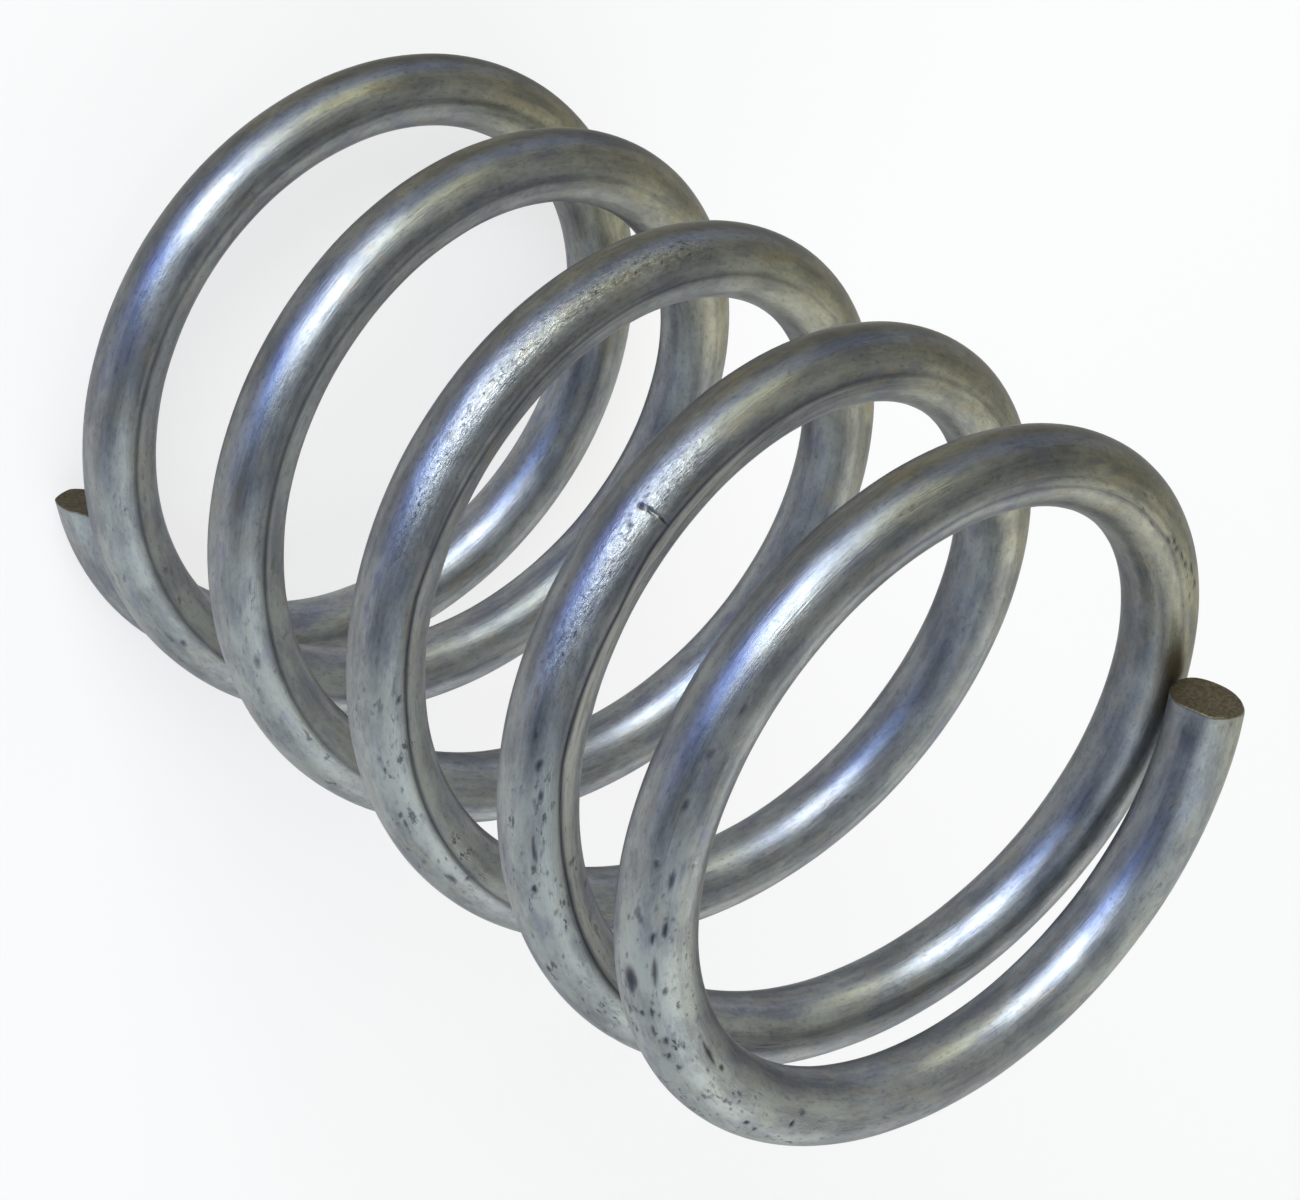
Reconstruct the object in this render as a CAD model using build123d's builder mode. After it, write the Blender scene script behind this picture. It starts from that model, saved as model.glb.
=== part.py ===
"""Coil spring that holds a drum brake's shoe against its backing plate.

One length of round steel wire, wound right-handed about +Z.
Each end coil is closed down to the coil beside it and sheared off at a slant, not ground.
The spring stands on its lower end: z = 0 is its lowest point and Z is the coil's axis.
"""

import os
from math import cos, pi, radians, sin, sqrt

from build123d import *

# Driving dimensions, in millimetres
outside_diameter = 17.5
wire_diameter = 1.8
free_length = 25.5
tip_clearance = 0.05
cut_edge_radius = 0.12

# Slant of each cut away from square, in degrees about the coil's axis
lower_cut_slant = 27
upper_cut_slant = 6

# Driving dimensions, in turns of the coil counted along the wire
total_turns = 5.466
closed_turns = 0.58
opening_turns = 0.53

# Points of the centreline in each turn, close enough for a true curve
points_per_turn = 24

# Worked out from the driving dimensions
wire_radius = wire_diameter / 2
coil_radius = outside_diameter / 2 - wire_radius
half_turns = total_turns / 2
half_rise = (free_length - wire_diameter) / 2


def opened(turn):
    """How much of the first turns from a tip counts as wound at the open pitch, in turns.

    The pitch keeps its end value over closed_turns, then grows evenly over opening_turns.
    """
    past_closed = max(turn - closed_turns, 0)
    if past_closed < opening_turns:
        return past_closed**2 / (2 * opening_turns)
    return past_closed - opening_turns / 2


# Two conditions give both pitches: one turn on from a tip the wire clears that tip
# by tip_clearance, and half of the turns climb half of the way from tip to tip.
first_turn_rise = wire_diameter + tip_clearance
pitch_gain = (half_rise - first_turn_rise * half_turns) / (opened(half_turns) - opened(1) * half_turns)
end_pitch = first_turn_rise - pitch_gain * opened(1)
open_pitch = end_pitch + pitch_gain


def rise(turn):
    """Climb of the centreline over this many turns from a tip."""
    return end_pitch * turn + pitch_gain * opened(turn)


def centre_point(turn):
    """Point of the centreline at this many turns from the lower tip."""
    if turn <= half_turns:
        height = wire_radius + rise(turn)
    else:
        height = free_length - wire_radius - rise(total_turns - turn)
    angle = 2 * pi * turn
    return Vector(coil_radius * cos(angle), coil_radius * sin(angle), height)


def cut_reach(side_radius, slant):
    """Distance along a slanted cut from the wire's centre to a side that lies at this radius."""
    sideways = coil_radius * sin(radians(slant))
    return abs(sqrt(side_radius**2 - sideways**2) - coil_radius * cos(radians(slant)))


# The winding, from the lower tip to the upper one
span_count = round(total_turns * points_per_turn)
winding = [centre_point(total_turns * index / span_count) for index in range(span_count + 1)]

with BuildPart() as coil_spring:
    with BuildLine():
        centreline = Spline(*winding)
    # The wire is swept from the plane of one cut to the plane of the other. Each slant leaves
    # the outer side of the wire the longer one at the lower tip, the shorter at the upper tip.
    for place, slant in ((0, lower_cut_slant), (1, upper_cut_slant)):
        cut_normal = (centreline % place).rotate(Axis.Z, -slant)
        inward = Vector(0, 0, 1).cross(cut_normal)
        inner_reach = cut_reach(coil_radius - wire_radius, slant)
        outer_reach = cut_reach(coil_radius + wire_radius, slant)
        with BuildSketch(Plane(origin=centreline @ place, x_dir=inward, z_dir=cut_normal)):
            with Locations(((inner_reach - outer_reach) / 2, 0)):
                Ellipse((inner_reach + outer_reach) / 2, wire_radius)
    sweep(multisection=True, is_frenet=True)
    cut_faces = coil_spring.faces().filter_by(GeomType.PLANE)
    fillet(cut_faces.edges(), cut_edge_radius)

coil_spring.part.label = "coil_spring"

os.makedirs("parts", exist_ok=True)
export_step(coil_spring.part, "parts/coil_spring.step")

expected_volume = pi * wire_radius**2 * centreline.length
print(f"open pitch {open_pitch:.3f} mm and end pitch {end_pitch:.3f} mm a turn")
print(f"wire length {centreline.length:.2f} mm, section times length {expected_volume:.2f} mm3")
print(f"solid volume {coil_spring.part.volume:.2f} mm3, valid {coil_spring.part.is_valid}")
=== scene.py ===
"""Retainer spring of a drum brake shoe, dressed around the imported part.

The wire is one mesh that follows the part's own winding, with the sheared tips, the marks of
the coiling tools and the dents and pits of handling in its surface.
"""

import math

import bpy
import numpy as np
from mathutils import Matrix, Vector


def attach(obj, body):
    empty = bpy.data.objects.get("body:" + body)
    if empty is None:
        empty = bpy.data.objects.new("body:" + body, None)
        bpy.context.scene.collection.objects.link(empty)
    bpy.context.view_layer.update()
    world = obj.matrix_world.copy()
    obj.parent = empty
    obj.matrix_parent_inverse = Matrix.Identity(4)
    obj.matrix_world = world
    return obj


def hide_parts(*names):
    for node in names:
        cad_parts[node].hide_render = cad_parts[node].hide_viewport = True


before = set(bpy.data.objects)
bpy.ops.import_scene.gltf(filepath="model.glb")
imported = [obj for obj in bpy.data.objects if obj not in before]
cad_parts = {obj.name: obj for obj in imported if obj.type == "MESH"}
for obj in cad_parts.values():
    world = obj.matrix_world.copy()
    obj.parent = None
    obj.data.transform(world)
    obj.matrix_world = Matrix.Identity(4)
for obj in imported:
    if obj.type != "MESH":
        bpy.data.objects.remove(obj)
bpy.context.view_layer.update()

# The winding, in millimetres and in turns of the coil, with the part's own numbers
OUTSIDE_DIAMETER = 17.5
WIRE_DIAMETER = 1.8
FREE_LENGTH = 25.5
TIP_CLEARANCE = 0.05
TOTAL_TURNS = 5.466
CLOSED_TURNS = 0.58
OPENING_TURNS = 0.53

WIRE_RADIUS = WIRE_DIAMETER / 2
COIL_RADIUS = OUTSIDE_DIAMETER / 2 - WIRE_RADIUS
HALF_TURNS = TOTAL_TURNS / 2
HALF_RISE = (FREE_LENGTH - WIRE_DIAMETER) / 2
METRES = 0.001

# Slant of the cuts away from square, in degrees about the coil's axis
LOWER_CUT_SLANT = 27
UPPER_CUT_SLANT = 6


def opened(turn):
    """How much of the first turns from a tip counts as wound at the open pitch, in turns."""
    past = np.maximum(turn - CLOSED_TURNS, 0)
    return np.where(past < OPENING_TURNS, past**2 / (2 * OPENING_TURNS), past - OPENING_TURNS / 2)


FIRST_TURN_RISE = WIRE_DIAMETER + TIP_CLEARANCE
PITCH_GAIN = (HALF_RISE - FIRST_TURN_RISE * HALF_TURNS) / (
    opened(HALF_TURNS) - opened(1) * HALF_TURNS
)
END_PITCH = FIRST_TURN_RISE - PITCH_GAIN * opened(1)


def height(turn):
    """Height of the wire's centre at a turn from the lower tip."""
    near = np.minimum(turn, TOTAL_TURNS - turn)
    climb = END_PITCH * near + PITCH_GAIN * opened(near)
    return np.where(turn <= HALF_TURNS, WIRE_RADIUS + climb, FREE_LENGTH - WIRE_RADIUS - climb)


def on_wire(turn, angle, radius):
    """Points at an angle round the wire and a radius from its centre.

    The angle is 0 on the coil's outside, a quarter turn on its upper side.
    """
    swing = 2 * np.pi * turn
    step = 1e-4
    climb = (height(turn + step) - height(turn - step)) / (4 * np.pi * step)
    out = np.stack([np.cos(swing), np.sin(swing), 0 * swing], -1)
    along = np.stack([-COIL_RADIUS * np.sin(swing), COIL_RADIUS * np.cos(swing), climb], -1)
    along /= np.linalg.norm(along, axis=-1, keepdims=True)
    up = np.cross(out, along)
    centre = np.stack([COIL_RADIUS * np.cos(swing), COIL_RADIUS * np.sin(swing), height(turn)], -1)
    reach = out * np.cos(angle)[..., None] + up * np.sin(angle)[..., None]
    return centre + reach * np.asarray(radius)[..., None]


def smooth(low, high, x):
    """Rises smoothly from 0 at low to 1 at high, or falls where high is the smaller."""
    k = np.clip((x - low) / (high - low), 0, 1)
    return k * k * (3 - 2 * k)


def between(start, full, fading, end, x):
    """Rises smoothly from 0 at start to 1 at full, and falls from fading to 0 at end."""
    return smooth(start, full, x) * smooth(end, fading, x)


def bump(x, width):
    """A bell of height 1 round zero."""
    return np.exp(-((x / width) ** 2))


# Millimetres along the wire in a turn, and radians in a degree
TURN_LENGTH = 2 * math.pi * COIL_RADIUS
DEG = math.pi / 180


def turned(angle, centre):
    """Angle from a centre, in degrees, between -180 and 180."""
    return (np.degrees(angle) - centre + 180) % 360 - 180


# Marks on the wire, each at a turn from the lower tip and an angle in degrees round the wire.
# Lengths, widths and depths are in millimetres where nothing else is said.

# Crease that the coiling tool pressed along the wire: turn, degrees and strength
CREASE = (
    (0.00, 84, 0.0), (0.12, 86, 0.3), (0.60, 88, 0.25), (0.84, 90, 0.5), (0.93, 86, 0.8),
    (1.10, 88, 0.7), (1.20, 90, 0.35), (1.60, 88, 0.2), (1.80, 90, 0.6), (1.90, 86, 0.8),
    (2.00, 88, 0.8), (2.12, 88, 0.5), (2.20, 90, 0.25), (2.60, 90, 0.25), (2.70, 91, 0.6),
    (2.84, 93, 0.8), (2.89, 86, 0.9), (2.91, 82, 1.0), (2.97, 87, 1.0), (3.05, 83, 0.9),
    (3.12, 78, 0.6), (3.25, 88, 0.3), (3.60, 86, 0.3), (3.76, 82, 0.7), (3.83, 80, 1.0),
    (3.86, 88, 1.0), (3.90, 83, 1.0), (3.93, 80, 1.0), (3.95, 85, 1.0), (3.99, 91, 1.0),
    (4.08, 90, 0.9), (4.20, 92, 0.3), (4.40, 96, 0.2), (4.60, 98, 0.5), (4.75, 94, 0.5),
    (4.86, 88, 0.35), (5.00, 86, 0.15), (5.15, 88, 0.1), (5.40, 88, 0.0), (5.47, 88, 0.0),
)
CREASE_DEPTH = 0.016
CREASE_WIDTH = 0.06
# Width and darkness of the painted shade in the crease
CREASE_SHADE_WIDTH = 0.065
CREASE_SHADE = 0.95
# Strip that the same tool flattened on the crease's inner side, in degrees round the wire
FLAT_WIDTH = 24
# Slow waves in the wire's surface
WAVE_DEPTH = 0.0022
# Finer grooves along the wire, each darkened with painted shade: points of the line, width, depth
# and shade
TOOL_LINES = (
    (((3.70, 94), (3.78, 99), (3.84, 103)), 0.030, 0.006, 0.5),
    (((2.70, 85), (2.784, 80), (2.95, 79)), 0.035, 0.008, 0.5),
    (((2.68, 98), (2.78, 101), (2.88, 103)), 0.030, 0.006, 0.5),
    (((4.36, 120), (4.50, 128), (4.66, 122)), 0.050, 0.008, 0.5),
    (((4.52, 84), (4.62, 82), (4.72, 80)), 0.035, 0.005, 0.3),
)
# Distance in which a finer line starts and ends, in turns
LINE_FADE = 0.03
# Pits and knocks: turn, degrees, half length along the wire, half width round it, depth and shade
PITS = (
    (3.8176, 69, 0.030, 0.15, 0.030, 0.65),
    (3.8180, 48, 0.045, 0.13, 0.034, 0.50),
    (3.8184, 32, 0.060, 0.09, 0.030, 0.90),
    (3.8275, 35, 0.050, 0.06, 0.018, 0.90),
    (3.8240, 25, 0.040, 0.05, 0.014, 0.70),
    (1.724, 77, 0.10, 0.07, 0.025, 0.55),
    (1.060, 62, 0.11, 0.07, 0.012, 0.75),
    (1.999, 57, 0.16, 0.08, 0.012, 0.65),
    (2.959, 75, 0.10, 0.05, 0.012, 0.90),
    (2.993, 43, 0.07, 0.04, 0.012, 0.85),
    (3.0185, 44, 0.07, 0.05, 0.012, 0.80),
    (3.024, 46, 0.10, 0.04, 0.012, 0.80),
    (3.064, 57, 0.18, 0.07, 0.014, 0.75),
    (3.069, 77, 0.05, 0.09, 0.012, 0.70),
    (3.919, 35, 0.12, 0.06, 0.014, 0.85),
    (3.931, 46, 0.14, 0.06, 0.014, 0.95),
    (3.944, 55, 0.14, 0.05, 0.012, 0.90),
    (3.969, 47, 0.26, 0.05, 0.010, 0.85),
    (3.978, 45, 0.10, 0.05, 0.010, 0.80),
    (3.988, 42, 0.10, 0.07, 0.012, 0.95),
    (3.998, 128, 0.08, 0.07, 0.012, 0.70),
    (4.092, 9, 0.10, 0.05, 0.010, 0.70),
    (4.859, 61, 0.16, 0.05, 0.010, 0.75),
    (4.880, 51, 0.12, 0.06, 0.010, 0.70),
    (4.902, 47, 0.14, 0.06, 0.010, 0.75),
    (4.929, 35, 0.09, 0.05, 0.010, 0.70),
    (4.928, 88, 0.05, 0.04, 0.008, 0.60),
    (4.935, 61, 0.24, 0.06, 0.012, 0.85),
    (4.955, 28, 0.10, 0.06, 0.010, 0.60),
    (4.958, 63, 0.18, 0.06, 0.014, 1.00),
    (4.963, 46, 0.15, 0.05, 0.012, 1.00),
    (4.979, 50, 0.36, 0.06, 0.010, 0.85),
    (4.985, 14, 0.32, 0.15, 0.014, 0.90),
    (4.990, 62, 0.10, 0.05, 0.010, 0.80),
    (5.001, 40, 0.14, 0.05, 0.012, 0.95),
    (5.002, 26, 0.09, 0.05, 0.012, 0.90),
    (5.003, 4, 0.08, 0.05, 0.010, 0.60),
    (5.012, 36, 0.16, 0.05, 0.010, 0.80),
    (5.018, 49, 0.12, 0.05, 0.012, 0.95),
    (5.027, 46, 0.08, 0.05, 0.012, 0.90),
    (5.036, 51, 0.08, 0.05, 0.010, 0.80),
    (5.038, 98, 0.30, 0.06, 0.014, 0.95),
    (5.052, 103, 0.10, 0.06, 0.012, 0.90),
    (5.071, 75, 0.06, 0.05, 0.010, 0.75),
    (5.078, 86, 0.05, 0.04, 0.010, 0.75),
    (5.094, 66, 0.08, 0.06, 0.014, 1.00),
    (5.102, 61, 0.06, 0.05, 0.010, 0.90),
    (5.098, 89, 0.05, 0.03, 0.008, 0.70),
    (5.1205, 89, 0.06, 0.08, 0.018, 1.00),
    (4.600, 95, 0.10, 0.04, 0.008, 0.75),
    (4.5665, 93, 0.14, 0.04, 0.010, 0.85),
    (4.5615, 88, 0.12, 0.04, 0.010, 0.85),
    (4.5555, 89, 0.10, 0.04, 0.010, 0.80),
    (4.548, 84, 0.16, 0.04, 0.010, 0.85),
    (4.5405, 82, 0.14, 0.04, 0.010, 0.80),
    (4.5335, 71, 0.20, 0.05, 0.010, 0.85),
    (4.522, 68, 0.18, 0.05, 0.010, 0.75),
    # no depth: painted shade on the cutter's flat beside the upper cut
    (5.449, 154, 0.36, 0.22, 0.000, 0.50),
)
# Half length and half width of a small pit
SMALL_PIT = (0.055, 0.028)
# Swarms of small pits: first and last turn, first and last degrees, number of pits, depth, shade
SWARMS = (
    (3.785, 3.890, 14, 60, 70, 0.003, 0.60),
    (2.690, 2.880, 18, 60, 60, 0.002, 0.50),
    (3.940, 4.110, 10, 78, 60, 0.006, 0.60),
    (4.930, 5.130, -10, 105, 110, 0.006, 0.65),
    (2.930, 3.110, 10, 80, 40, 0.008, 0.60),
    (1.930, 2.110, 10, 80, 25, 0.008, 0.50),
    (4.505, 4.640, 55, 105, 45, 0.005, 0.60),
)
# The plating is also crackled in the first two swarms, and painted glints lighten it there
CRACKLE_AND_GLINT_SWARMS = SWARMS[:2]
# Stretches where the plating is rubbed and frosted: first and last turn, strength
FROSTED = (
    (0.03, 0.30, 0.35), (0.95, 1.14, 0.5), (1.95, 2.13, 0.55), (2.955, 3.14, 0.75),
    (3.94, 4.13, 0.85), (4.95, 5.15, 1.0), (5.27, 5.45, 0.45),
)
# The rings of the mesh lie closer in these ones
FROST_WITH_PITS = FROSTED[3:6]
# The side of the wire that is frosted, in degrees, and the degrees from it where the frost
# starts, is full, fades and ends
FROST_SIDE = 40
FROST_SPREAD = (-85, -15, 50, 100)
# Brown stain with painted contact shadow under the upper tip: turns where it starts, is full,
# fades and ends, then its middle and half width round the wire, in degrees
STAIN_SHADOW_TURNS = (4.435, 4.460, 4.480, 4.500)
STAIN_SHADOW_SIDE, STAIN_SHADOW_WIDTH = 104, 24
# Turns where the flattened strip starts to shine with a painted sheen, shines, fades and is dull
# again
STRIP_SHEEN_TURNS = (3.62, 3.80, 4.12, 4.30)
# Painted light and shade and painted warm and cold tints along the wire: first and last turn
# within each coil, degrees, half width in degrees, lightening and warmth
PAINTED_TONES = (
    (0.55, 0.84, 4, 48, -0.47, 0.1),
    (0.60, 0.74, 8, 26, -0.22, 0.0),
    (0.56, 0.78, -8, 18, 0.00, 1.0),
    (0.83, 0.91, 6, 22, -0.50, 0.0),
    (0.96, 1.16, -6, 40, 0.45, 0.0),
    (0.86, 0.96, -40, 30, 0.35, 0.05),
    (0.91, 1.04, 76, 22, 0.20, 0.0),
    (0.95, 1.10, 70, 12, 0.10, -0.1),
    (0.92, 1.14, 84, 22, 0.15, 0.1),
    (0.85, 1.50, 112, 30, 0.24, 0.0),
    (0.72, 0.94, 90, 16, 0.38, 0.0),
    (0.56, 0.72, 88, 12, 0.20, 0.0),
    (0.48, 0.66, 80, 18, 0.35, 0.0),
    (0.36, 0.56, 62, 22, 0.46, 0.0),
    (0.12, 0.30, 82, 16, -0.40, 0.0),
    (0.12, 0.22, 125, 22, 0.35, 0.0),
    (0.24, 0.40, 178, 20, -0.26, 0.0),
    (0.15, 0.52, 210, 22, 0.35, 0.1),
    (0.44, 0.56, 155, 22, -0.12, 0.0),
    (0.15, 0.30, 150, 18, 0.00, -0.6),
    (0.30, 0.50, 160, 40, 0.00, -0.4),
    (0.73, 0.87, 55, 12, 0.45, 0.0),
    (0.76, 0.94, 58, 22, -0.08, -0.2),
    (0.64, 0.78, 25, 13, 0.05, -1.0),
    (0.78, 0.90, 15, 13, 0.10, -1.0),
    (0.46, 0.66, 60, 90, -0.04, 1.0),
)
# The same painted light and shade for one place on the wire each, with its turns counted from the
# lower tip
LOCAL_PAINTED_TONES = (
    (0.24, 0.36, 128, 14, 0.80, 0.0),
    (1.26, 1.36, 146, 17, -0.50, 0.8),
    (4.64, 4.96, 66, 19, -0.30, 0.0),
    (4.78, 4.98, 102, 18, 0.30, 0.0),
    (5.28, 5.60, 50, 50, 0.42, 0.1),
)
# Distance in which a painted tone starts and ends, in turns, on either side of its first and last
# turn
PAINTED_TONE_FADE = 0.05

# Seed of the small pits' random places and sizes
PIT_SEED = 11


def all_pits():
    """Every pit, each of the listed ones with two smaller ones beside it for a ragged outline."""
    chance = np.random.default_rng(PIT_SEED)
    pits = []
    for turn, degrees, long, wide, deep, dark in PITS:
        pits.append((turn, degrees, long, wide, deep, dark))
        for _ in range(2):
            aside = chance.uniform(-0.9, 0.9, 2)
            size = chance.uniform(0.45, 0.75)
            along = turn + aside[0] * long / TURN_LENGTH
            around = degrees + aside[1] * wide / WIRE_RADIUS / DEG
            pits.append((along, around, long * size, wide * size, deep * 0.6, dark * 0.9))
    for start, end, low, high, number, deep, dark in SWARMS:
        for _ in range(number):
            size = chance.uniform(0.5, 1.3)
            place = (chance.uniform(start, end), chance.uniform(low, high))
            shade = min(1, dark * chance.uniform(0.6, 1.2))
            pits.append((*place, SMALL_PIT[0] * size, SMALL_PIT[1] * size, deep * size, shade))
    return pits


ALL_PITS = all_pits()


def line_place(turn, points):
    """Angle of a tool line at a turn, in degrees."""
    return np.interp(turn, [point[0] for point in points], [point[1] for point in points])


def crease_strength(turn):
    """Strength of the crease at a turn, from 0 to 1."""
    return np.interp(turn, [point[0] for point in CREASE], [point[2] for point in CREASE])


def line_share(turn, angle, points, width):
    """How strongly a tool line shows at places on the wire, from 0 to 1."""
    start, end = points[0][0], points[-1][0]
    gap = turned(angle, line_place(turn, points)) * DEG * WIRE_RADIUS
    return between(start, start + LINE_FADE, end - LINE_FADE, end, turn) * bump(gap, width)


def pit_field(turn, angle):
    """Depth of the pits in mm and their shade from 0 to 1, at rings of places on the wire."""
    depth, shade = 0 * turn, 0 * turn
    for where, degrees, long, wide, deep, dark in ALL_PITS:
        # only the rings that the pit can reach
        near = np.nonzero(np.abs(turn[:, 0] - where) * TURN_LENGTH < 2 * long + 1)[0]
        along = (turn[near] - where) * TURN_LENGTH / long
        across = turned(angle[near], degrees) * DEG * WIRE_RADIUS / wide
        share = np.exp(-((along**2 + across**2) ** 2))
        depth[near] += deep * share
        shade[near] = np.maximum(shade[near], dark * share)
    return depth, shade


def relief(turn, angle):
    """How far the surface lies inside the true wire, in mm, apart from the pits."""
    along = turn * TURN_LENGTH
    waves = (
        np.sin(along * 0.83 + 1.3 * np.cos(angle + 0.4))
        + 0.7 * np.sin(along * 1.91 + 2.1 * np.sin(angle - 0.9) + 1.0)
        + 0.5 * np.sin(along * 3.37 + 1.7 * np.cos(2 * angle + 2.0))
    )
    # the waves come to 2.2 at most, so the surface stays inside the true wire
    depth = WAVE_DEPTH * (2.4 + waves)
    strength = crease_strength(turn)
    across = turned(angle, line_place(turn, CREASE))
    groove = CREASE_DEPTH * bump(across * DEG * WIRE_RADIUS, CREASE_WIDTH)
    # the groove's depth wanders along the wire
    groove = groove * (0.78 + 0.22 * np.sin(along * 1.3 + 2.0 * np.sin(along * 0.37)))
    # a chord across the flattened strip, deepest at its middle
    middle = (across - FLAT_WIDTH / 2) * DEG
    half = FLAT_WIDTH / 2 * DEG
    chord = WIRE_RADIUS * np.maximum(1 - np.cos(half) / np.cos(np.clip(middle, -half, half)), 0)
    depth = depth + strength * np.maximum(groove, chord * (np.abs(middle) < half))
    for points, width, deep, _ in TOOL_LINES:
        depth = depth + deep * line_share(turn, angle, points, width)
    return depth


def wear_and_shade(turn, angle):
    """Painted shade in the crease and along the tool lines, frost, and brown stain with painted
    contact shadow at places on the wire, each from 0 to 1.
    """
    across = turned(angle, line_place(turn, CREASE)) * DEG * WIRE_RADIUS
    shade = CREASE_SHADE * crease_strength(turn) * bump(across, CREASE_SHADE_WIDTH)
    for points, width, _, dark in TOOL_LINES:
        shade = np.maximum(shade, dark * line_share(turn, angle, points, width))
    frost = 0 * angle
    for start, end, strength in FROSTED:
        stretch = between(start - 0.03, start + 0.03, end - 0.04, end + 0.06, turn)
        frost = np.maximum(frost, strength * stretch)
    frost = frost * between(*FROST_SPREAD, turned(angle, FROST_SIDE))
    stain_shadow = between(*STAIN_SHADOW_TURNS, turn) * bump(turned(angle, STAIN_SHADOW_SIDE), STAIN_SHADOW_WIDTH)
    return shade, frost, stain_shadow


def painted_tone(turn, angle):
    """Painted light and shade, and painted warm and cold tints, of the plating's colour at places
    on the wire.
    """
    painted_lightening, warm = 0 * turn, 0 * turn
    for rows, each_coil in ((PAINTED_TONES, True), (LOCAL_PAINTED_TONES, False)):
        for start, end, degrees, half, painted_lighter, painted_warmer in rows:
            away, reach = turn - (start + end) / 2, (end - start) / 2
            if each_coil:
                away = (away + 0.5) % 1 - 0.5
            share = smooth(reach + PAINTED_TONE_FADE, reach - PAINTED_TONE_FADE, np.abs(away))
            share = share * bump(turned(angle, degrees), half)
            painted_lightening = painted_lightening + painted_lighter * share
            warm = warm + painted_warmer * share
    return painted_lightening, warm


def finish_sheen_and_glint_of(turn, angle):
    """Burnish of the flattened strip with its painted sheen, and crackle of the plating with its
    painted glints, each from 0 to 1.
    """
    across = turned(angle, line_place(turn, CREASE))
    strip = between(1, 4, FLAT_WIDTH - 2, FLAT_WIDTH + 6, across)
    # painted sheen on the strip, strongest over the listed turns
    strip_sheen = 0.2 + 0.8 * between(*STRIP_SHEEN_TURNS, turn)
    burnish_and_sheen = strip * np.minimum(1, 1.3 * crease_strength(turn)) * strip_sheen
    crackle_and_glint = 0 * angle
    for start, end, low, high, *_ in CRACKLE_AND_GLINT_SWARMS:
        along = between(start - 0.02, start + 0.01, end - 0.01, end + 0.03, turn)
        middle, half = (low + high) / 2, (high - low) / 2
        crackle_and_glint = np.maximum(crackle_and_glint, along * bump(turned(angle, middle), half))
    return burnish_and_sheen, crackle_and_glint


# Rings along the wire lie closer where the marks are. The first one's place is in turns.
FIRST_RING = 0.013
RINGS = 1400
RING_SAMPLES = 40001
# So do the columns on the side of the wire that faces up and out, given in degrees
FINE_SIDE = (-45, 111)
FINE_COLUMNS, OTHER_COLUMNS = 46, 23


def ring_turns():
    """Turns of the rings along the wire."""
    turn = np.linspace(FIRST_RING, TOTAL_TURNS - FIRST_RING, RING_SAMPLES)
    # how close the rings lie, where 1 stands for the plain wire
    density = 1 + 4 * smooth(0.04, 0, turn) + 4 * smooth(0.04, 0, TOTAL_TURNS - turn)
    for start, end, _ in FROST_WITH_PITS:
        density += 2 * between(start - 0.04, start, end, end + 0.04, turn)
    for start, end, *_ in CRACKLE_AND_GLINT_SWARMS:
        density += 1.5 * between(start - 0.01, start, end, end + 0.01, turn)
    for pit in PITS:
        density += 0.25 / pit[2] * bump((turn - pit[0]) * TURN_LENGTH, 2.2 * pit[2])
    share = np.concatenate([[0], np.cumsum((density[1:] + density[:-1]) / 2)])
    return np.interp(np.linspace(0, share[-1], RINGS), share, turn)


def ring_angles():
    """Angles round the wire, in radians, closer together on the side that faces up and out."""
    start, end = FINE_SIDE
    fine = np.linspace(start, end, FINE_COLUMNS, endpoint=False)
    other = np.linspace(end, start + 360, OTHER_COLUMNS, endpoint=False)
    return np.radians(np.concatenate([fine, other]))


# Rounding of the cut's edge, from the wire's side to the face: its angle in degrees, and how
# bare of plating the ring there is
EDGE_STEPS = ((0, 0), (18, 0.5), (36, 0.9), (54, 1), (72, 1), (90, 1))
# Size of that rounding at the lower and at the upper cut: the least of it, what the shear adds,
# and on which side, in degrees
EDGE_SIZES = ((0.05, 0.16, 190), (0.07, 0.20, 10))
# Rings of the cut's face, as shares of its radius, and the depth of the hollow in it
FACE_STEPS = (0.86, 0.72, 0.58, 0.44, 0.3, 0.18, 0.08)
FACE_DIP = 0.012


def cut_swing(off, upper):
    """Swing about the coil's axis from a cut's middle to its side this far outward, in turns."""
    slant = math.radians(UPPER_CUT_SLANT if upper else LOWER_CUT_SLANT)
    side = COIL_RADIUS * math.sin(slant) / (COIL_RADIUS + off)
    return (np.arcsin(side) - slant) / (2 * math.pi)


def edge_size(upper, angle):
    """Rounding of a cut's edge, in mm: the shear drags the side that it enters over."""
    least, dragged, degrees = EDGE_SIZES[upper]
    return least + dragged * smooth(0.1, 1, np.cos(angle - degrees * DEG))


def tip_rings(upper):
    """Rings of (turn, angle, radius) from the last ring of the wire to the middle of the cut."""
    angle = ring_angles()
    side = 1 if upper else -1
    edge = edge_size(upper, angle)
    steps = []
    for degrees, _ in EDGE_STEPS:
        back = edge * (1 - math.sin(degrees * DEG))
        steps.append((back, WIRE_RADIUS - edge * (1 - math.cos(degrees * DEG))))
    for share in FACE_STEPS:
        radius = (WIRE_RADIUS - edge) * share
        waves = np.sin(5.1 * radius * np.cos(angle) + 1) * np.sin(7.3 * radius * np.sin(angle))
        steps.append((FACE_DIP * (1 + waves) * (1 - share**4), radius))
    rings = []
    for back, radius in steps:
        off = radius * np.cos(angle)
        turn = (TOTAL_TURNS if upper else 0) + cut_swing(off, upper)
        turn = turn - side * back / (2 * math.pi * (COIL_RADIUS + off))
        rings.append((turn, angle, radius))
    return rings


# Flats that the cutter pressed into the wire beside a cut: upper cut or not, degrees, depth
# and reach along the wire
PINCHES = ((True, 160, 0.09, 1.0), (False, -52, 0.09, 0.9), (False, 42, 0.04, 0.7))


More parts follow.
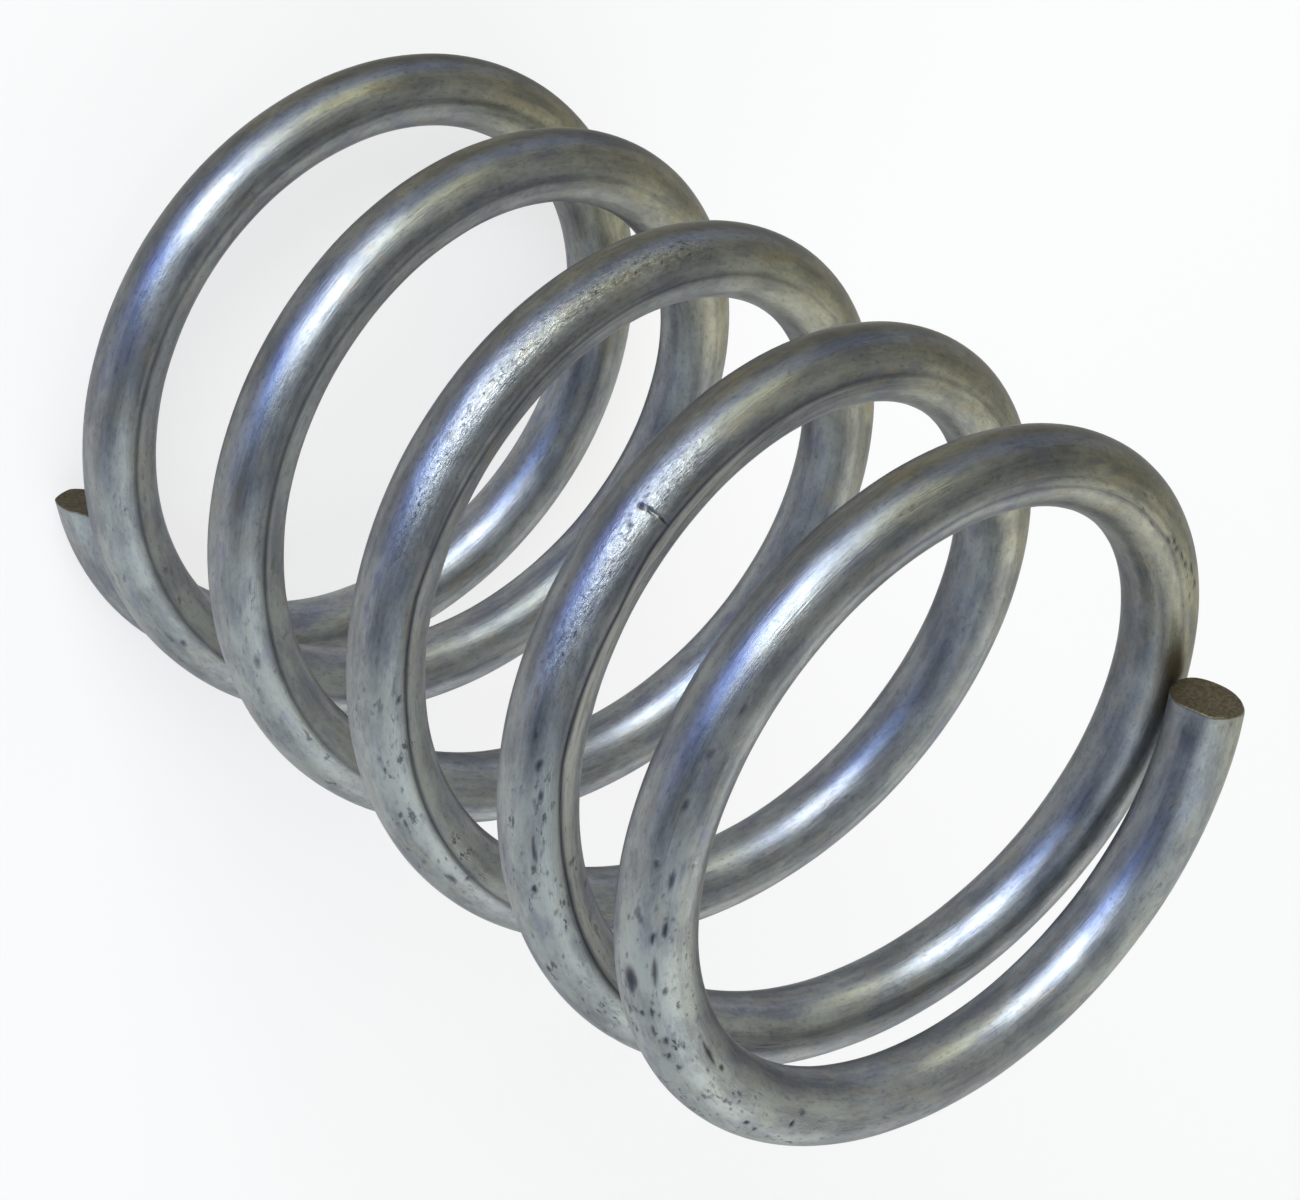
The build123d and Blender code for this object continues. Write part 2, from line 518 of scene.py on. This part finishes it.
def pinched(turn, angle, radius):
    """The radius with the cutter's flats beside the cuts, deepest at the cut itself."""
    for upper, degrees, depth, reach in PINCHES:
        back = (TOTAL_TURNS - turn if upper else turn) * TURN_LENGTH
        deep = depth * smooth(reach, 0.1, back)
        gap = np.radians(turned(angle, degrees))
        flat = (WIRE_RADIUS - deep) / np.maximum(np.cos(gap), 0.3)
        radius = radius * np.where(np.abs(gap) < 1.2, np.minimum(flat / WIRE_RADIUS, 1), 1)
    return radius


# Distance from a tip over which the rings lean with its cut, in turns
LEAN_END = 0.10


def wire_rings():
    """Turn, angle and radius of the true wire's rings, from the lower cut to the upper one."""
    angles = ring_angles()
    rings = list(reversed(tip_rings(False)))
    for turn in ring_turns():
        near = min(turn, TOTAL_TURNS - turn)
        leaning = cut_swing(WIRE_RADIUS * np.cos(angles), turn > HALF_TURNS)
        place = turn + leaning * float(smooth(LEAN_END, FIRST_RING, near))
        rings.append((place, angles, np.full(len(angles), WIRE_RADIUS)))
    rings += tip_rings(True)
    return [np.array(values) for values in zip(*rings)]


def with_middles(values, lower, upper):
    """Three values for each point of the rings, then those of the two cuts' middles."""
    return np.vstack([np.stack(values, -1).reshape(-1, 3), lower, upper])


def wire_faces(total, count):
    """Quads between the rings of points, and triangles from each cut's last ring to its middle."""
    ring, column = np.meshgrid(np.arange(total - 1), np.arange(count), indexing="ij")
    here, beside = ring * count + column, ring * count + (column + 1) % count
    quads = np.stack([here + count, beside + count, beside, here], -1).reshape(-1, 4)
    around = np.arange(count)
    beside = (around + 1) % count
    lower_fan = np.stack([np.full(count, total * count), around, beside], -1)
    last = (total - 1) * count
    upper_fan = np.stack([np.full(count, total * count + 1), last + beside, last + around], -1)
    return quads.tolist() + lower_fan.tolist() + upper_fan.tolist()


def wire_mesh():
    """Points in mm, faces, and the values by name that the material reads at each point."""
    turn, angle, radius = wire_rings()
    total, count = turn.shape
    # the wire's own relief runs on into the rings of the cut's edge
    side = slice(len(FACE_STEPS), -len(FACE_STEPS))
    pit_depth, pit_shade = pit_field(turn, angle)
    radius[side] -= relief(turn[side], angle[side]) + pit_depth[side]
    radius = pinched(turn, angle, radius)
    dip = FACE_DIP / TURN_LENGTH
    middles = [on_wire(*np.array([at, 0.0, 0.0])) for at in (dip, TOTAL_TURNS - dip)]
    points = np.vstack([on_wire(turn, angle, radius).reshape(-1, 3), *middles])

    cut = [1] * len(FACE_STEPS) + [share for _, share in reversed(EDGE_STEPS)]
    bare = np.zeros((total, count))
    bare[: len(cut)] = np.array(cut)[:, None]
    bare[-len(cut) :] = np.array(cut)[::-1, None]
    shade, frost, stain_shadow = wear_and_shade(turn, angle)
    marks_and_shade = [value * (1 - bare) for value in (np.maximum(shade, pit_shade), frost, stain_shadow)]
    straight = (radius * np.cos(angle), radius * np.sin(angle), turn * TURN_LENGTH)
    none = (0, 0, 0)
    stored = {
        "straight": with_middles(straight, none, (0, 0, TOTAL_TURNS * TURN_LENGTH)),
        # marks with painted shade in the grooves, frost, and stain with painted contact shadow
        "wear_and_shade": with_middles(marks_and_shade, none, none),
        # bare steel, burnish with its painted sheen, and crackle with its painted glints
        "finish_sheen_and_glint": with_middles([bare, *finish_sheen_and_glint_of(turn, angle)], (1, 0, 0), (1, 0, 0)),
        # painted lightening and warmth; the last of its three values is spare
        "painted_tone": with_middles([*painted_tone(turn, angle), 0 * turn], none, none),
    }
    return points, wire_faces(total, count), stored


def make_wire():
    """The dressed wire as an object in the scene."""
    points, faces, stored = wire_mesh()
    mesh = bpy.data.meshes.new("spring_wire")
    mesh.from_pydata((points * METRES).tolist(), [], faces)
    mesh.polygons.foreach_set("use_smooth", [True] * len(mesh.polygons))
    for name, values in stored.items():
        layer = mesh.attributes.new(name, "FLOAT_VECTOR", "POINT")
        layer.data.foreach_set("vector", values.astype(np.float32).ravel())
    piece = bpy.data.objects.new("spring_wire", mesh)
    bpy.context.scene.collection.objects.link(piece)
    return piece


wire = make_wire()


# Materials


class Nodes:
    """Short hand for building a node tree. A value is a number, a colour or another socket."""

    def __init__(self, tree):
        self.tree = tree

    def add(self, kind, **settings):
        node = self.tree.nodes.new("ShaderNode" + kind)
        for name, value in settings.items():
            setattr(node, name, value)
        return node

    def put(self, socket, value):
        if isinstance(value, bpy.types.NodeSocket):
            self.tree.links.new(value, socket)
        else:
            socket.default_value = value

    def attribute(self, name):
        return self.add("Attribute", attribute_name=name).outputs["Vector"]

    def math(self, operation, *values, clamp=False):
        node = self.add("Math", operation=operation, use_clamp=clamp)
        for socket, value in zip(node.inputs, values):
            self.put(socket, value)
        return node.outputs[0]

    def ramp(self, value, low, high, to_low=0.0, to_high=1.0):
        node = self.add("MapRange", interpolation_type="SMOOTHSTEP")
        for socket, given in zip(node.inputs, (value, low, high, to_low, to_high)):
            self.put(socket, given)
        return node.outputs[0]

    def vector_math(self, operation, first, second):
        node = self.add("VectorMath", operation=operation)
        self.put(node.inputs[0], first)
        self.put(node.inputs["Scale" if operation == "SCALE" else 1], second)
        return node.outputs["Value" if operation == "DOT_PRODUCT" else "Vector"]

    def noise(self, vector, scale, detail, rough):
        node = self.add("TexNoise")
        self.put(node.inputs["Vector"], vector)
        node.inputs["Scale"].default_value = scale
        node.inputs["Detail"].default_value = detail
        node.inputs["Roughness"].default_value = rough
        return node.outputs["Fac"]

    def blend(self, share, first, second, kind="MIX"):
        node = self.add("Mix", data_type="RGBA", blend_type=kind)
        self.put(node.inputs[0], share)
        for socket, value in zip((node.inputs[6], node.inputs[7]), (first, second)):
            self.put(socket, value)
        return node.outputs[2]


def new_material(name):
    """A material without nodes, and the short hand for its tree."""
    material = bpy.data.materials.new(name)
    material.use_nodes = True
    material.node_tree.nodes.clear()
    return material, Nodes(material.node_tree)


# Colours of the plating: its dull and pale patches, its brown and violet tints, and its streaks
DULL_ZINC, PALE_ZINC = (0.148, 0.158, 0.172, 1), (0.275, 0.288, 0.280, 1)
BROWN_ZINC, VIOLET_ZINC = (0.228, 0.214, 0.188, 1), (0.160, 0.165, 0.218, 1)
STREAK, DARK_GRAIN = (0.300, 0.312, 0.314, 1), (0.088, 0.094, 0.104, 1)
# Where it is burnished with a painted sheen and lined, frosted, or crackled with painted glints
BURNISHED_SHEEN, BURNISHED_LINE = (0.325, 0.322, 0.305, 1), (0.090, 0.088, 0.092, 1)
FROSTED_ZINC, PAINTED_GLINT = (0.310, 0.328, 0.314, 1), (0.480, 0.500, 0.510, 1)
# Factors of the painted warm and cold tints of the reflections
PAINTED_WARM_TINT, PAINTED_COLD_TINT = (1.10, 1.02, 0.76, 1), (0.88, 0.94, 1.26, 1)
# Pits, specks and painted shade in the grooves, rust, stain with painted contact shadow, bare cut
# steel
DARK_PIT_AND_SHADE, RUST, STAIN_SHADOW = (0.032, 0.031, 0.050, 1), (0.230, 0.140, 0.115, 1), (0.190, 0.140, 0.100, 1)
DARK_STEEL, PALE_STEEL = (0.052, 0.044, 0.025, 1), (0.115, 0.096, 0.058, 1)
# Tint of the metal's reflection at grazing angles
EDGE_TINT = (0.60, 0.60, 0.62, 1)
# Level of the plating where the painted light and shade is neither lighter nor darker
PLAIN_LEVEL = 1.06
# Strength of the fine relief, and its height in metres
FINE_STRENGTH, FINE_HEIGHT = 0.45, 0.00003


def steel():
    """Zinc-plated steel with its wear, and with painted light, shade, sheen and glints, from the
    values that the wire's mesh stores.
    """
    material, n = new_material("zinc_plated_steel")
    straight = n.attribute("straight")
    stored = []
    for name in ("wear_and_shade", "finish_sheen_and_glint", "painted_tone"):
        parts = n.add("SeparateXYZ")
        n.put(parts.inputs[0], n.attribute(name))
        stored += parts.outputs
    # marks with painted shade, frost, stain with painted contact shadow; bare steel, burnish with
    # painted sheen, crackle with painted glints; painted lightening and warmth
    shade, frost, stain_shadow, bare, burnish_and_sheen, crackle_and_glint, painted_lightening, warm, _ = stored

    def pattern(squeeze, scale, detail, rough):
        """Noise that is drawn out along the wire, the more the smaller the squeeze is."""
        place = n.vector_math("MULTIPLY", straight, (1, 1, squeeze))
        return n.noise(place, scale, detail, rough)

    streaks = pattern(0.05, 9, 4, 0.6)
    fine = pattern(0.04, 30, 3, 0.6)
    cloud = pattern(0.40, 1.5, 5, 0.68)
    hue = pattern(0.35, 2.4, 4, 0.62)
    grain = pattern(0.5, 11, 5, 0.7)
    flecks = pattern(0.40, 5.5, 5, 0.68)
    swarm = pattern(0.5, 1.6, 2, 0.5)
    cracks = pattern(0.6, 11, 3, 0.6)

    # the plating's patches, its brown and violet tints, the drawn streaks and the fine grain
    colour = n.blend(n.ramp(cloud, 0.34, 0.66), DULL_ZINC, PALE_ZINC)
    colour = n.blend(n.ramp(hue, 0.53, 0.68, 0, 0.85), colour, BROWN_ZINC)
    colour = n.blend(n.ramp(hue, 0.46, 0.30, 0, 0.85), colour, VIOLET_ZINC)
    colour = n.blend(n.ramp(streaks, 0.3, 0.75, 0, 0.34), colour, STREAK)
    colour = n.blend(n.ramp(grain, 0.50, 0.25, 0, 0.6), colour, DARK_GRAIN)
    # where it is burnished with a painted sheen, frosted, or crackled with painted glints
    rubbed_and_sheen = n.math("MULTIPLY", burnish_and_sheen, n.ramp(streaks, 0.38, 0.60, 0.10, 0.70))
    colour = n.blend(rubbed_and_sheen, colour, BURNISHED_SHEEN)
    lined = n.math("MULTIPLY", burnish_and_sheen, n.ramp(fine, 0.46, 0.34, 0, 0.6))
    colour = n.blend(lined, colour, BURNISHED_LINE)
    frosted = n.math("MULTIPLY", frost, n.ramp(cloud, 0.40, 0.60, 0.25, 0.8))
    colour = n.blend(frosted, colour, FROSTED_ZINC)
    # painted glint: lighter flecks in the crackled zones where the highlight lies
    painted_glint = n.math("MULTIPLY", crackle_and_glint, n.ramp(grain, 0.52, 0.62, 0, 0.4))
    colour = n.blend(painted_glint, colour, PAINTED_GLINT)
    # painted warm and cold tints of the reflections, and painted light and shade along the wire
    painted_warmer = n.math("MAXIMUM", warm, 0.0, clamp=True)
    colour = n.blend(painted_warmer, colour, PAINTED_WARM_TINT, "MULTIPLY")
    painted_colder = n.math("MAXIMUM", n.math("MULTIPLY", warm, -1.0), 0.0, clamp=True)
    colour = n.blend(painted_colder, colour, PAINTED_COLD_TINT, "MULTIPLY")
    colour = n.vector_math("SCALE", colour, n.math("ADD", painted_lightening, PLAIN_LEVEL))
    # specks, pits and painted shade in the grooves and on the cutter's flat, rust, stain with
    # painted contact shadow, and the bare steel of the cuts
    gathered = n.ramp(swarm, 0.38, 0.60)
    amount = n.math("MULTIPLY", gathered, n.math("MULTIPLY_ADD", frost, 0.8, 0.22))
    speck = n.math("MULTIPLY", n.ramp(flecks, 0.56, 0.65), amount)
    cracked = n.math("MULTIPLY", crackle_and_glint, n.ramp(cracks, 0.42, 0.36, 0, 0.75))
    cracks_pits_and_shade = n.math("MAXIMUM", cracked, shade)
    dark = n.math("MAXIMUM", n.math("MULTIPLY", speck, 0.85), cracks_pits_and_shade)
    colour = n.blend(dark, colour, DARK_PIT_AND_SHADE)
    rusty = n.math("MULTIPLY", n.ramp(flecks, 0.36, 0.30), n.math("MULTIPLY", frost, 0.5))
    colour = n.blend(rusty, colour, RUST)
    colour = n.blend(n.math("MULTIPLY", stain_shadow, 0.6), colour, STAIN_SHADOW)
    face = n.blend(n.ramp(grain, 0.35, 0.65), DARK_STEEL, PALE_STEEL)
    colour = n.blend(n.math("MULTIPLY", bare, 0.97), colour, face)

    rough = n.ramp(streaks, 0.25, 0.75, 0.345, 0.395)
    for mark, rougher in ((frost, 0.12), (bare, 0.18), (shade, 0.10)):
        rough = n.math("MULTIPLY_ADD", mark, rougher, rough)

    uneven = n.math("MULTIPLY_ADD", crackle_and_glint, 1.0, n.math("MULTIPLY_ADD", frost, 0.8, 0.45))
    raised = n.math("MULTIPLY_ADD", fine, 0.4, n.math("MULTIPLY", grain, uneven))
    raised = n.math("MULTIPLY_ADD", speck, -0.5, raised)
    lift = n.add("Bump")
    lift.inputs["Strength"].default_value = FINE_STRENGTH
    lift.inputs["Distance"].default_value = FINE_HEIGHT
    n.put(lift.inputs["Height"], raised)

    shader = n.add("BsdfPrincipled")
    shader.inputs["Metallic"].default_value = 1.0
    shader.inputs["Specular Tint"].default_value = EDGE_TINT
    n.put(shader.inputs["Base Color"], colour)
    n.put(shader.inputs["Roughness"], rough)
    n.put(shader.inputs["Normal"], lift.outputs[0])
    n.put(n.add("OutputMaterial").inputs["Surface"], shader.outputs[0])
    return material


wire.data.materials.append(steel())
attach(wire, "root")
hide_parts("coil_spring")

# Floor

FLOOR_COLOUR = (0.83, 0.82, 0.82, 1)
# Share of plain white in what the camera and the metal's reflections see of the floor
FLOOR_WHITE = 0.68
# Half of the floor's side, in metres
FLOOR_REACH = 3.0


def floor_material():
    """Pale floor, part of it shown as plain white to the camera and in the metal's reflections."""
    material, n = new_material("pale_floor")
    shader = n.add("BsdfPrincipled")
    shader.inputs["Base Color"].default_value = FLOOR_COLOUR
    shader.inputs["Roughness"].default_value = 0.9
    shader.inputs["Specular IOR Level"].default_value = 0.1
    white = n.add("Emission")
    white.inputs["Color"].default_value = (1.0, 1.0, 1.0, 1)
    path = n.add("LightPath").outputs
    reflected = n.math("MAXIMUM", path["Is Glossy Ray"], path["Is Transmission Ray"])
    seen = n.math("MAXIMUM", path["Is Camera Ray"], reflected)
    mix = n.add("MixShader")
    n.put(mix.inputs[0], n.math("MULTIPLY", seen, FLOOR_WHITE))
    n.put(mix.inputs[1], shader.outputs[0])
    n.put(mix.inputs[2], white.outputs[0])
    n.put(n.add("OutputMaterial").inputs["Surface"], mix.outputs[0])
    return material


corners = [(x * FLOOR_REACH, y * FLOOR_REACH, 0) for x, y in ((-1, -1), (1, -1), (1, 1), (-1, 1))]
floor_mesh = bpy.data.meshes.new("floor")
floor_mesh.from_pydata(corners, [], [(0, 1, 2, 3)])
floor = bpy.data.objects.new("floor", floor_mesh)
floor.data.materials.append(floor_material())
bpy.context.scene.collection.objects.link(floor)

# Light: a dim room with soft pale patches, and three round lamps on the camera's side

scene = bpy.context.scene

# Colour of the room, and soft patches laid over it in this order: azimuth and elevation of the
# middle in degrees, cosines of the angles from it where a patch ends and is full, and colour
ROOM_COLOUR = (0.30, 0.32, 0.35, 1)
ROOM_PATCHES = (
    (165, 30, -0.20, 0.90, (0.46, 0.46, 0.40, 1)),
    (-20, 22, 0.66, 0.96, (0.12, 0.13, 0.15, 1)),
    (38, 50, 0.80, 0.98, (1.25, 1.35, 1.40, 1)),
    (137, 38, 0.68, 0.96, (0.60, 0.61, 0.58, 1)),
    (95, 18, 0.84, 0.97, (2.10, 2.15, 2.10, 1)),
    (25, 2, 0.88, 0.98, (1.30, 1.45, 1.55, 1)),
)
# Lamps: name, azimuth and elevation in degrees, diameter in metres, radiance and colour
LAMPS = (
    ("key", -80, 22, 0.31, 13.0, (0.95, 1.0, 0.99)),
    ("cool", -56, 12, 0.22, 6.5, (0.16, 0.36, 1.0)),
    ("warm", -120, 17, 0.20, 4.0, (1.0, 0.93, 0.42)),
)
LAMP_DISTANCE = 0.5
SPRING_MIDDLE = Vector((0, 0, FREE_LENGTH / 2 * METRES))


def toward(azimuth, elevation):
    """Unit vector at an azimuth and an elevation, in degrees."""
    turn, lift = azimuth * DEG, elevation * DEG
    flat = math.cos(lift)
    return Vector((math.cos(turn) * flat, math.sin(turn) * flat, math.sin(lift)))


def make_room():
    """The world, which the metal reflects."""
    world = bpy.data.worlds.new("studio")
    scene.world = world
    world.use_nodes = True
    n = Nodes(world.node_tree)
    direction = n.add("TexCoord").outputs["Generated"]
    room = ROOM_COLOUR
    for azimuth, elevation, low, high, colour in ROOM_PATCHES:
        facing = n.vector_math("DOT_PRODUCT", direction, toward(azimuth, elevation))
        room = n.blend(n.ramp(facing, low, high), room, colour)
    n.put(world.node_tree.nodes["Background"].inputs["Color"], room)


def make_lamp(name, azimuth, elevation, size, radiance, colour):
    """A round lamp that faces the spring."""
    data = bpy.data.lights.new(name, "AREA")
    data.shape = "DISK"
    data.size = size
    data.color = colour
    # power of a disc with this radiance
    data.energy = radiance * math.pi**2 * (size / 2) ** 2
    thing = bpy.data.objects.new(name, data)
    way = toward(azimuth, elevation)
    thing.location = SPRING_MIDDLE + way * LAMP_DISTANCE
    thing.rotation_euler = way.to_track_quat("Z", "Y").to_euler()
    scene.collection.objects.link(thing)


make_room()
for row in LAMPS:
    make_lamp(*row)

# Camera at the photograph's viewing angle: its place in millimetres and its axes

CAMERA_PLACE = (37.515, -58.466, 73.173)
CAMERA_RIGHT = Vector((-0.78159, 0.12074, 0.61200))
CAMERA_DOWN = Vector((0.47134, 0.75694, 0.45263))
CAMERA_FORWARD = Vector((-0.40860, 0.64223, -0.64853))
camera_data = bpy.data.cameras.new("camera")
camera_data.sensor_width = 36
camera_data.lens = 106.50
camera_data.clip_start = 0.005
camera_data.clip_end = 20
camera = bpy.data.objects.new("camera", camera_data)
axes = Matrix((CAMERA_RIGHT, -CAMERA_DOWN, -CAMERA_FORWARD)).transposed()
camera.matrix_world = Matrix.Translation(Vector(CAMERA_PLACE) * METRES) @ axes.to_4x4()
scene.collection.objects.link(camera)
scene.camera = camera

scene.view_settings.view_transform = "Standard"
